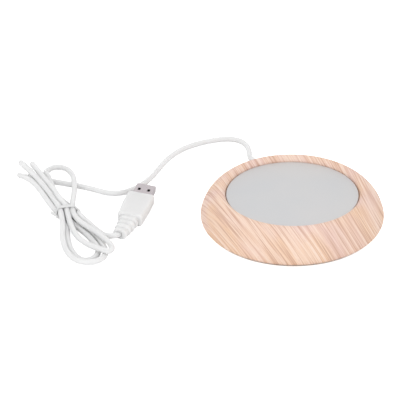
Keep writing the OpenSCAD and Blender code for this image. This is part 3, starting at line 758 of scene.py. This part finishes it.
def make_grip():
    rows = []

    def straight(x, w, h, r):
        rows.append([(x, y, z) for y, z in section(w, h, r)])

    def bent(s, w, h, r):
        (x, y), a = boot_place(s)
        side = np.array([-math.sin(math.radians(a)), math.cos(math.radians(a))])
        rows.append([(x + u * side[0], y + u * side[1], z) for u, z in section(w, h, r)])

    for x, more, r in MOUTH:
        straight(x, MOUTH_W + more, MOUTH_H + more, r)
    for x, less, r in FACE_EDGE:
        straight(x, GRIP_W - less, GRIP_H - less, r)
    for x, w in GRIP_TAPER:
        straight(x, w, GRIP_H, GRIP_R)
    for k in range(1, 7):
        t = math.radians(k * 15)
        x = SHOULDER_L * (1 - math.sin(t)) - GRIP_L
        w, h, r = (less * (1 - math.cos(t)) for less in SHOULDER_LESS)
        straight(x, SHOULDER_W - w, GRIP_H - h, GRIP_R - r)
    step = BOOT_L / len(BOOT_W)
    for i, (w, h) in enumerate(zip(BOOT_W, BOOT_H)):
        s = i * step
        if i % 2 == 0:
            bent(s + GROOVE_START, w, h, h / 2 - FLAT)
            bent(s + step - GROOVE_END, w - 0.1, h, h / 2 - FLAT)
            continue
        for at, less in RIB_EDGE:
            bent(s + at, w - less, h - less, (h - less) / 2 - FLAT)
    for past, w, h, r in BOOT_END:
        bent(BOOT_L + past, w, h, r)
    points = [p for row in rows for p in row]
    return piece("grip", points, loft_faces(len(rows), len(rows[0])), "lead_pvc", 50.0, at_plug)


grip = make_grip()
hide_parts("plug_grip")
smooth_flats = grip.modifiers.new("flats", "WEIGHTED_NORMAL")
smooth_flats.keep_sharp = True

# ---- The turned ring, the plate and the feet ----

WALL_R, PLATE_R, LEDGE_R, BASE_R = 40.1, 39.6, 35.5, 46.3
# Arcs of the ring's profile: centre, radius and, for belly and lip, the angle at the slope.
HEEL = ((50.3, 5.6), 4.7)
BELLY = ((46.0, 5.6), 9.0, 14.0)
SLOPE = ((32.901, 2.334), 22.5)
LIP = ((43.35, 18.501), 3.25, 57.12)
WOOD_Z, SEAT_Z, LEDGE_Z = 0.9, 3.4, 16.6
WOOD_EDGE = 0.2  # bevel of the recess's lower edge
PLATE_TOP, PLATE_T = 19.0, 2.0
PLATE_Z = PLATE_TOP - PLATE_T
PLATE = [  # radius, height, rounding
    (0, PLATE_Z, 0), (PLATE_R - 0.1, PLATE_Z, 0), (PLATE_R, PLATE_Z + 0.1, 0),
    (PLATE_R, PLATE_TOP, 0.5), (0, PLATE_TOP, 0),
]
POCKET = [(0, 53.2), (4.1, 53.2), (4.1, 60), (0, 60)]  # radius, distance from the middle
FEET_R, FOOT_R, FOOT_H = 40.0, 5.0, 1.6  # the feet's circle, then each foot
FOOT = [  # radius, height, rounding
    (0, 0.15, 0), (3.6, 0.15, 0), (3.9, 0, 0), (FOOT_R, 0, 0.35), (FOOT_R, FOOT_H, 0),
    (0, FOOT_H, 0),
]
ROUND = 256  # steps round the ring and the plate


def ring_profile():
    return (
        [(BASE_R, WOOD_Z + WOOD_EDGE), (BASE_R + WOOD_EDGE, WOOD_Z)]
        + arc(*HEEL, -90, 0, 18)
        + arc(BELLY[0], BELLY[1], 0, BELLY[2], 6)[1:]
        + arc(*SLOPE, BELLY[2], LIP[2], 24)[1:]
        + arc(LIP[0], LIP[1], LIP[2], 180, 24)[1:]
        + [(WALL_R, LEDGE_Z), (LEDGE_R, LEDGE_Z), (LEDGE_R, SEAT_Z), (BASE_R, SEAT_Z)]
    )


def cut_pocket(o):
    """Cuts the collar's pocket out of the ring, and takes the result as its mesh."""
    hole = lathe("pocket_cutter", POCKET, "beech", 64, at=along_exit)
    mod = o.modifiers.new("pocket", "BOOLEAN")
    mod.object, mod.operation, mod.solver = hole, "DIFFERENCE", "EXACT"
    done = bpy.data.meshes.new_from_object(o.evaluated_get(bpy.context.evaluated_depsgraph_get()))
    o.modifiers.remove(mod)
    o.data = done
    bpy.data.objects.remove(hole)


ring = lathe("turned_ring", ring_profile(), "beech", ROUND, closed=True, sharp=42.0)
cut_pocket(ring)
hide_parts("wood_ring")

plate = lathe("plate_disc", rounded_line(PLATE), "plate", ROUND)
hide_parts("heating_plate")

for i in range(4):
    a = math.radians(90 * i)
    at = move(FEET_R * math.cos(a), FEET_R * math.sin(a), 0)
    foot = lathe(f"foot_{i}", rounded_line(FOOT), "black_rubber", 64, at=at)
    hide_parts("rubber_feet")


def dress(name, slot):
    """Puts a slot's material on a node of the pack."""
    o = nodes[name]
    for s in o.material_slots:
        s.material = MAT[slot]
    if not o.material_slots:
        o.data.materials.append(MAT[slot])


for part in frame["record"]["subparts"]:
    dress(part["node"], part["material_slot"])

# ---- Studio, in metres: pale floor, white surroundings, soft lamps ----

FLOOR_HALF = 4.0
FLOOR_LIFT = 0.8  # how much the open floor glows to the camera, so that it looks white
UNDER_RING, CLEAR_OF_RING = 0.0508, 0.0520  # radii between which the glow sets in
WORLD_LIGHT, WORLD_SEEN = 0.84, 1.0
LAMP_AIM = (-0.05, 0, 0.01)


def make_floor():
    m = Nodes("floor")
    m.set(Base_Color=(0.92, 0.92, 0.92, 1), Roughness=0.9, Specular_IOR_Level=0.0)
    seen = m.add("ShaderNodeLightPath").outputs["Is Camera Ray"]
    apart = m.add("ShaderNodeVectorMath", {0: m.place()}, operation="LENGTH").outputs["Value"]
    lift = m.math("MULTIPLY", seen, m.ramp(apart, UNDER_RING, CLEAR_OF_RING, 0.0, FLOOR_LIFT))
    m.set(Emission_Color=(1, 1, 1, 1), Emission_Strength=lift)
    s = FLOOR_HALF
    mesh = bpy.data.meshes.new("floor")
    mesh.from_pydata([(-s, -s, 0), (s, -s, 0), (s, s, 0), (-s, s, 0)], [], [(0, 1, 2, 3)])
    mesh.materials.append(m.mat)
    o = bpy.data.objects.new("floor", mesh)
    scene.collection.objects.link(o)


def make_world():
    world = bpy.data.worlds.new("studio")
    scene.world = world
    world.use_nodes = True
    tree = world.node_tree
    back = tree.nodes["Background"]
    path = tree.nodes.new("ShaderNodeLightPath")
    clear = tree.nodes.new("ShaderNodeMath")
    clear.operation = "MAXIMUM"
    tree.links.new(path.outputs["Is Camera Ray"], clear.inputs[0])
    tree.links.new(path.outputs["Is Glossy Ray"], clear.inputs[1])
    level = tree.nodes.new("ShaderNodeMapRange")
    level.inputs["To Min"].default_value = WORLD_LIGHT
    level.inputs["To Max"].default_value = WORLD_SEEN
    tree.links.new(clear.outputs[0], level.inputs["Value"])
    tree.links.new(level.outputs["Result"], back.inputs["Strength"])
    back.inputs["Color"].default_value = (1, 1, 1, 1)


def lamp(name, place, power, size):
    data = bpy.data.lights.new(name, "AREA")
    data.shape, data.size, data.energy = "DISK", size, power
    o = bpy.data.objects.new(name, data)
    scene.collection.objects.link(o)
    o.location = place
    aim = Vector(LAMP_AIM) - Vector(place)
    o.rotation_euler = aim.to_track_quat("-Z", "Y").to_euler()


make_floor()
make_world()
lamp("front", (-0.1, -1.5, 0.35), 4.0, 1.2)
lamp("top", (-0.2, 0.2, 1.5), 2.0, 1.2)
